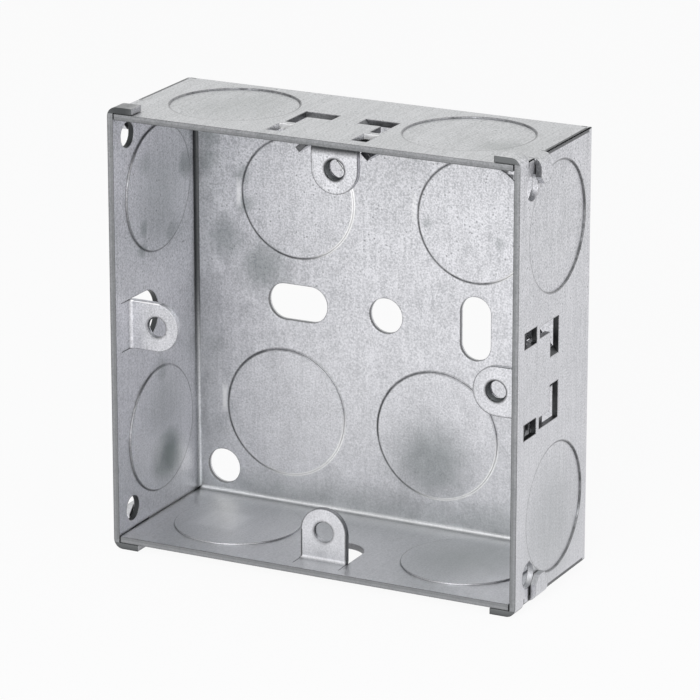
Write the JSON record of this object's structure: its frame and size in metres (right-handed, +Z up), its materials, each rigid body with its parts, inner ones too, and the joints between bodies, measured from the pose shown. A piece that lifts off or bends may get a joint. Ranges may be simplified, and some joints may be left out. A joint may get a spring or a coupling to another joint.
{
  "type": "flush back box",
  "caption": "Shallow square flush back box of folded galvanised steel, open at the front, with knock-outs, fixed lugs and sliding lugs for a wiring accessory.",
  "frame": {"origin": "centre of the back plate's rear face", "axes": "+X right and +Z up as seen from the front, +Y into the building wall; the mouth opens towards -Y"},
  "size_m": [0.0742, 0.028, 0.0742],
  "materials": {
    "galvanised_sheet": "zinc-coated sheet, dull",
    "galvanised_lug": "zinc-coated strip, dull"
  },
  "bodies": {
    "box": {"box_body": "galvanised_sheet"},
    "top_lug": {"top_adjustable_lug": "galvanised_lug"},
    "right_lug": {"right_adjustable_lug": "galvanised_lug"}
  },
  "joints": [
    {"name": "top_lug_slide", "type": "slide", "parent": "box", "child": "top_lug", "axis": [1, 0, 0], "range_m": [-0.004, 0]},
    {"name": "right_lug_slide", "type": "slide", "parent": "box", "child": "right_lug", "axis": [0, 0, 1], "range_m": [0, 0.004]}
  ]
}
